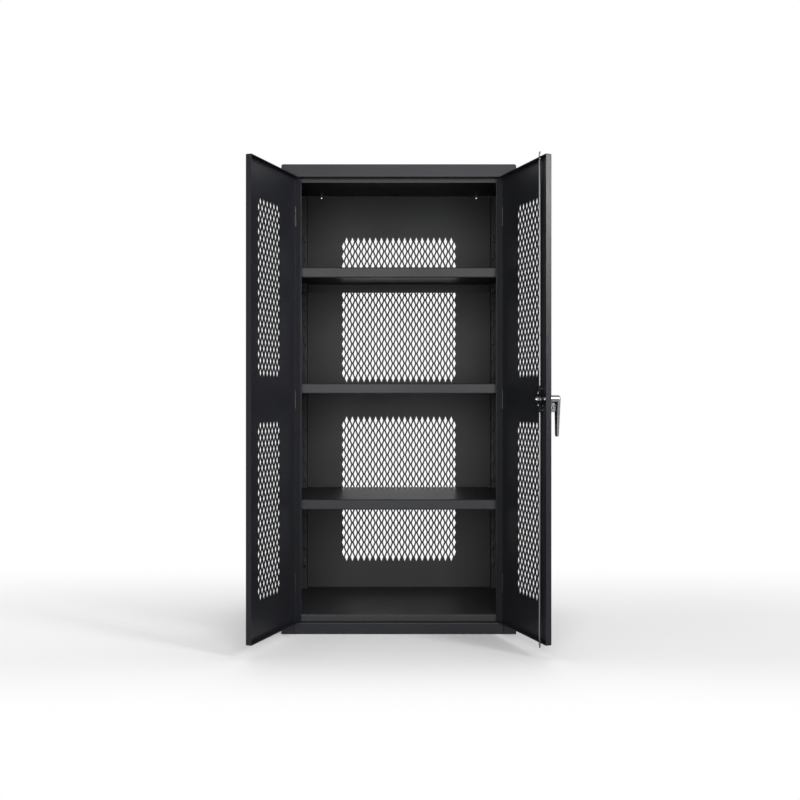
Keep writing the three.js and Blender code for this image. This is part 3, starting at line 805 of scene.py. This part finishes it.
def upright_tabs():
    """The lanced tabs that shelf clips hook over: one pressed tab, repeated up each upright."""
    tabs = block((0, -TAB_ROOT, TAB_BOTTOM), (TAB_WIDTH, TAB_SKIN, TAB_BOTTOM + TAB_HEIGHT))
    mesh = edit(tabs)
    for vertex in mesh.verts:
        if vertex.co.y > 0 and vertex.co.z < TAB_BOTTOM + ON_LINE:
            vertex.co.y = TAB_RELIEF
    done(tabs)
    rounded(tabs, both_ends(lambda at: at.y > 0), TAB_ROUNDING, segments=2)
    repeat(tabs, TAB_COUNT, (0, 0, TAB_PITCH))
    smooth(tabs)
    for end in ("front", "rear"):
        if end == "rear":
            mirror(tabs, Y)
        for hand in ("right", "left"):
            low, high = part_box(f"{end}_{hand}_upright")
            x = low.x + TAB_INSET if hand == "right" else high.x - TAB_INSET - TAB_WIDTH
            web = high.y if end == "front" else low.y
            finish(copied(tabs, (x, web, 0)), f"{end}_{hand}_tabs", "inside", "cabinet")
    bpy.data.objects.remove(tabs)


def latch_rod(side, name):
    """A round rod with a flat eye on its cam pin and a tapered tip."""
    pin = LATCH_HEIGHT + side * CAM_PIN_THROW
    end = DOOR_TOP + ROD_REACH if side > 0 else DOOR_BOTTOM - ROD_REACH
    rod = spun([
        (ROD_RADIUS, pin + side * (EYE_LENGTH - EYE_OVERLAP)),
        (ROD_RADIUS, end - side * ROD_TIP_LENGTH),
        (ROD_TIP_RADIUS, end - side * ROD_TIP_EASE), (ROD_END_RADIUS, end),
    ], Z, (LATCH_X, FRONT + ROD_SETBACK, 0), sides=32)
    place = (LATCH_X, EYE_BACK - EYE_THICKNESS / 2, pin)
    eye = cylinder(place, EYE_RADIUS, EYE_THICKNESS, sides=48)
    mesh = edit(eye)
    for vertex in mesh.verts:
        x, y, z = vertex.co
        if (z - pin) * side > ON_LINE:
            x = LATCH_X + (EYE_RADIUS if x > LATCH_X else -EYE_RADIUS)
            vertex.co = (x, y, pin + side * EYE_LENGTH)
    done(eye)
    merge(eye)
    cut(eye, cylinder(place, CAM_PIN_RADIUS + FIT, CUTTER_LENGTH))
    unite(rod, eye)
    smooth(rod)
    swing(rod, 1)
    finish(rod, f"{name}_bar", "zinc", name, name, look="drawn")


def head(points, base):
    """The steps of a head whose radii and heights are in millimetres, from its base."""
    return [(radius * MM, base + height * MM) for radius, height in points]


def latch_fittings():
    """Turned heads: the cam's pins, the stop stud, and the escutcheon's screws with their nuts."""
    pin = spun([
        (CAM_PIN_RADIUS, EYE_BACK - EYE_THICKNESS), (CAM_PIN_RADIUS, CAM_BACK + FIT),
        *head(CAM_PIN_HEAD, CAM_BACK + FIT),
    ], Y)
    for side, name in ((1, "top"), (-1, "bottom")):
        piece = copied(pin, (LATCH_X, 0, LATCH_HEIGHT + side * CAM_PIN_THROW))
        swing(piece, 1)
        finish(piece, f"{name}_cam_rivet", "zinc", "handle", f"{name}_cam_pin")
    bpy.data.objects.remove(pin)
    stud = spun([
        (STUD_RADIUS, DOOR_INNER), (STUD_RADIUS, FRONT + STUD_DEPTH - STUD_EASE),
        (STUD_RADIUS - STUD_EASE, FRONT + STUD_DEPTH),
    ], Y, (DOOR_MIDDLE + STUD_BACKSET, 0, LATCH_HEIGHT))
    swing(stud, 1)
    finish(stud, "cam_stop", "steel", "right_door", "latch_stop", look="zinc")
    screw = spun([
        (SCREW_RADIUS, PLATE_FACE + EMBED), (SCREW_RADIUS, DOOR_INNER),
        *head(SCREW_NUT, DOOR_INNER),
    ], Y)
    for name, (across, up) in SCREW_PLACES.items():
        piece = copied(screw, (LATCH_X + across, 0, LATCH_HEIGHT + up))
        swing(piece, 1)
        node = f"{name}_escutcheon_screw"
        finish(piece, f"{name}_plate_screw", "steel", "right_door", node, look="drawn")
    bpy.data.objects.remove(screw)


def lever():
    """A cast lever: a round head that tapers down to a narrower rounded tip, on a round hub."""
    middle = (LEVER_OUTER + LEVER_INNER) / 2
    bar = cylinder((LATCH_X, middle, LATCH_HEIGHT), HUB_RADIUS, LEVER_THICKNESS, sides=64)
    shrink = LEVER_TIP_RADIUS / HUB_RADIUS
    tip = LATCH_HEIGHT - LEVER_LENGTH + LEVER_TIP_RADIUS
    tip_outer = LEVER_OUTER + LEVER_TIP_INSET
    mesh = edit(bar)
    for vertex in mesh.verts:
        x, y, z = vertex.co
        if z < LATCH_HEIGHT - ON_LINE:
            vertex.co = (
                LATCH_X + (x - LATCH_X) * shrink,
                tip_outer if y < middle else tip_outer + LEVER_TIP_THICKNESS,
                tip + (z - LATCH_HEIGHT) * shrink,
            )
    done(bar)
    sharp = radians(LEVER_EDGE_ANGLE)
    rounded(bar, lambda edge: edge.calc_face_angle(0) > sharp, LEVER_ROUNDING, segments=4)
    hub_face = PLATE_FACE - FIT
    groove = HUB_RADIUS - GROOVE_DEPTH
    hub = spun([
        (HUB_RADIUS - HUB_EASE, hub_face), (HUB_RADIUS, hub_face - HUB_EASE),
        (HUB_RADIUS, PLATE_FACE - GROOVE_START),
        (groove, PLATE_FACE - GROOVE_START - GROOVE_SLOPE),
        (groove, PLATE_FACE - GROOVE_END + GROOVE_SLOPE),
        (HUB_RADIUS, PLATE_FACE - GROOVE_END), (HUB_RADIUS, LEVER_INNER - HUB_OVERLAP),
    ], Y, (LATCH_X, 0, LATCH_HEIGHT), sides=64)
    unite(bar, hub)
    smooth(bar, LEVER_SMOOTH_ANGLE)
    swing(bar, 1)
    finish(bar, "lever", "chrome", "handle", "handle")


def escutcheon():
    """The plate behind the lever, with the lug that a padlock goes through."""
    bottom = LATCH_HEIGHT - PLATE_DROP - PLATE_HEIGHT / 2
    plate = block(
        (LATCH_X - PLATE_WIDTH / 2, PLATE_FACE, bottom),
        (LATCH_X + PLATE_WIDTH / 2, PLATE_BACK, bottom + PLATE_HEIGHT),
    )
    in_front = both_ends(lambda at: at.y < PLATE_FACE + ON_LINE)
    rounded(plate, lambda edge: runs_along(edge, Y), PLATE_CORNER, segments=8)
    rounded(plate, in_front, PLATE_ROUNDING, segments=3)
    reach = LEVER_INNER + LUG_CLEARANCE
    top = LATCH_HEIGHT - HUB_RADIUS - FIT
    lug = block(
        (LATCH_X - LUG_THICKNESS / 2, reach, top - LUG_HEIGHT),
        (LATCH_X + LUG_THICKNESS / 2, PLATE_FACE + EMBED, top),
    )
    outermost = both_ends(lambda at: at.y < reach + ON_LINE)
    rounded(lug, lambda edge: outermost(edge) and runs_along(edge, X), LUG_CORNER, segments=6)
    place = (LATCH_X, LEVER_OUTER + PADLOCK_HOLE_SETBACK, top - PADLOCK_HOLE_DROP)
    cut(lug, cylinder(place, PADLOCK_HOLE_RADIUS, CUTTER_LENGTH, X, sides=40))
    unite(plate, lug)
    place = (LATCH_X, PLATE_FACE, LATCH_HEIGHT)
    cut(plate, cylinder(place, SPINDLE_HOLE_RADIUS, CUTTER_LENGTH, sides=40))
    for across, up in SCREW_PLACES.values():
        place = (LATCH_X + across, PLATE_FACE, LATCH_HEIGHT + up)
        cut(plate, cylinder(place, SCREW_HOLE_RADIUS, CUTTER_LENGTH))
    smooth(plate, PLATE_SMOOTH_ANGLE)
    swing(plate, 1)
    finish(plate, "escutcheon_plate", "chrome", "right_door", "handle_escutcheon")


back_panel()
doors()
hinges()
upright_tabs()
latch_rod(1, "top_rod")
latch_rod(-1, "bottom_rod")
latch_fittings()
lever()
escutcheon()


# A pale floor that takes the shadow round the cabinet, and runs out into white where it is seen
# directly. The fades say where its own shading starts and ends, and how much of it there is.

FLOOR_SIZE = 60
FLOOR_DROP = 0.5 * MM
FLOOR_TONE = 0.9
FLOOR_ROUGHNESS = 0.9
FLOOR_SPECULAR = 0.1
FRONT_FADE = (-1.32, -0.6)
BACK_FADE = (-0.1, 1.3, 1.0, 0.0)
# Beside the doors the floor keeps only 0.76 of its own shading. The rest is painted light: white that lifts the
# shade there.
NEAR_SIDE_PAINTED_LIGHT = (0.35, 0.8, 1.0, 0.76)
FAR_SIDE_FADE = (1.1, 3.2, 1.0, 0.0)


def floor_material():
    material = bpy.data.materials.new("studio_floor")
    material.use_nodes = True
    tree = material.node_tree
    shader = tree.nodes["Principled BSDF"]
    shader.inputs["Base Color"].default_value = (FLOOR_TONE, FLOOR_TONE, FLOOR_TONE, 1)
    shader.inputs["Roughness"].default_value = FLOOR_ROUGHNESS
    shader.inputs["Specular IOR Level"].default_value = FLOOR_SPECULAR
    place = tree.nodes.new("ShaderNodeTexCoord")
    split = tree.nodes.new("ShaderNodeSeparateXYZ")
    tree.links.new(place.outputs["Object"], split.inputs["Vector"])
    depth = split.outputs["Y"]
    aside = calculate(tree, "ABSOLUTE", split.outputs["X"])
    shaded = product(
        tree, ramp(tree, depth, *FRONT_FADE), ramp(tree, depth, *BACK_FADE),
        ramp(tree, aside, *NEAR_SIDE_PAINTED_LIGHT), ramp(tree, aside, *FAR_SIDE_FADE),
    )
    # The share of white: the backdrop where the floor runs out, and painted light beside the doors.
    white_and_painted_light_share = calculate(tree, "SUBTRACT", 1.0, shaded)
    white = tree.nodes.new("ShaderNodeEmission")
    blend = tree.nodes.new("ShaderNodeMixShader")
    share, first, second = blend.inputs
    feed(tree, share, product(tree, white_and_painted_light_share, seen_directly(tree)))
    tree.links.new(shader.outputs["BSDF"], first)
    tree.links.new(white.outputs["Emission"], second)
    tree.links.new(blend.outputs["Shader"], tree.nodes["Material Output"].inputs["Surface"])
    return material


deselect()
bpy.ops.mesh.primitive_plane_add(size=FLOOR_SIZE, location=(0, 0, -FLOOR_DROP))
floor = bpy.context.object
floor.name = "studio_floor"
floor.data.materials.append(floor_material())


# Light: a soft surround that shows as white, and lamps with their place, aim and size in metres,
# power in watts and spread in degrees

SURROUND = 0.38
LAMPS = {
    "front_softbox": ((0.2, -5.4, 1.65), (0.05, 0, 1.0), (3.6, 3.0), 278, 180),
    "right_softbox": ((2.9, -2.8, 2.5), (0.53, -0.68, 1.45), (0.9, 1.2), 12, 42),
    "top_softbox": ((0, 0.6, 4.8), (0, 0.3, 0), (3, 3), 90, 180),
}

world = bpy.data.worlds.new("studio")
bpy.context.scene.world = world
world.use_nodes = True
sky = world.node_tree
background = sky.nodes["Background"]
background.inputs["Color"].default_value = (1, 1, 1, 1)
brightness = ramp(sky, seen_directly(sky), 0.0, 1.0, SURROUND, 1.0, kind="LINEAR")
feed(sky, background.inputs["Strength"], brightness)

for name, (place, aim, size, power, spread) in LAMPS.items():
    light = bpy.data.lights.new(name, "AREA")
    light.shape = "RECTANGLE"
    light.spread = radians(spread)
    light.size, light.size_y = size
    light.energy = power
    lamp = bpy.data.objects.new(name, light)
    bpy.context.scene.collection.objects.link(lamp)
    lamp.location = place
    lamp.rotation_euler = (Vector(aim) - Vector(place)).to_track_quat("-Z", "Y").to_euler()
    lamp.visible_camera = False


# Camera: level and square to the front. The lens is measured in pixels of the picture, and the
# sensor in millimetres.

LENS_PIXELS = 996
FRAME_PIXELS = 800
SENSOR = 36
CAMERA_X = 4.8 * MM
CAMERA_HEIGHT = 911.2 * MM
CAMERA_DISTANCE = 3875.8 * MM

camera_data = bpy.data.cameras.new("camera")
camera_data.sensor_width = SENSOR
camera_data.lens = LENS_PIXELS / FRAME_PIXELS * SENSOR
camera = bpy.data.objects.new("camera", camera_data)
bpy.context.scene.collection.objects.link(camera)
camera.location = (CAMERA_X, FRONT - CAMERA_DISTANCE, CAMERA_HEIGHT)
camera.rotation_euler = (pi / 2, 0, 0)
bpy.context.scene.camera = camera
bpy.context.scene.view_settings.view_transform = "Standard"
